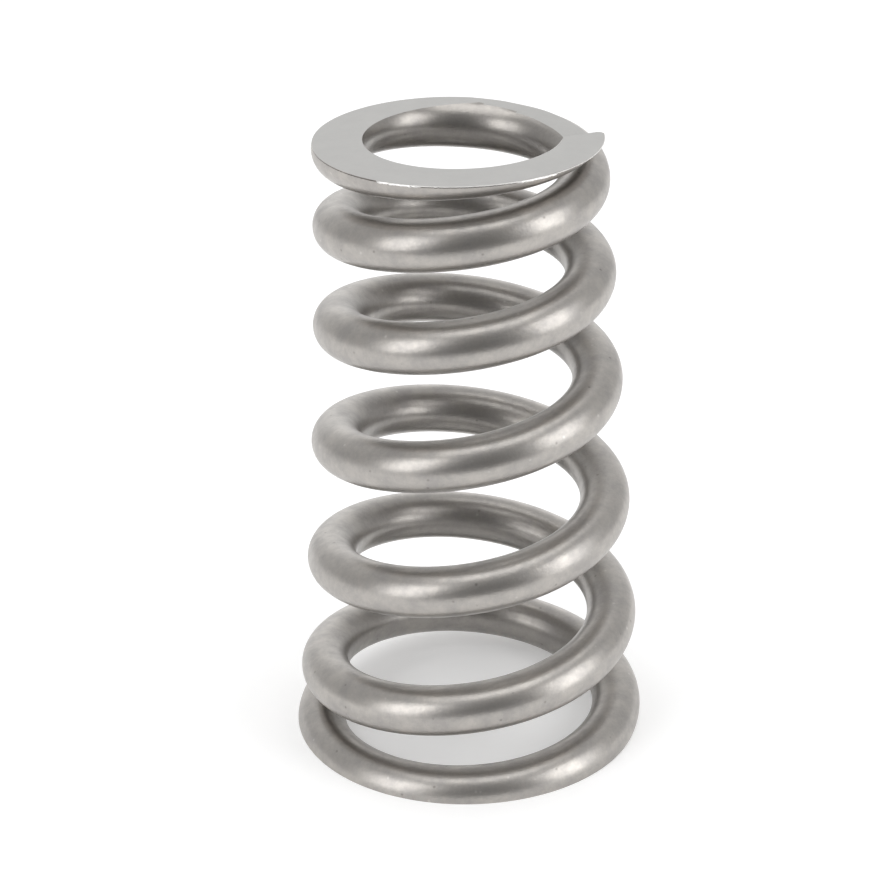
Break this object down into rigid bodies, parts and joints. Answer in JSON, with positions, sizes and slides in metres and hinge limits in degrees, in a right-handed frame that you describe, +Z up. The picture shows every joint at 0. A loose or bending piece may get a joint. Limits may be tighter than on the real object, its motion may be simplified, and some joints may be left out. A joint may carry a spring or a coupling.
{
  "type": "conical compression spring",
  "caption": "Conical compression spring of round steel wire, coiled right-handed, wide at the foot and narrow at the head, with closed and ground ends.",
  "frame": {"origin": "on the spring's axis, in the plane of the ground foot that the spring stands on", "axes": "+Z up the spring's axis from the wide foot to the narrow head; -Y is the side that faces the viewer; +X is the viewer's right, where the head's wire tip ends"},
  "size_m": [0.0325, 0.0322, 0.0569],
  "materials": {
    "spring_steel": "satin shot-peened round wire with a fine grey grain, and smoother matte ground faces at both ends"
  },
  "bodies": {
    "root": {"conical_spring": "spring_steel"}
  },
  "joints": []
}
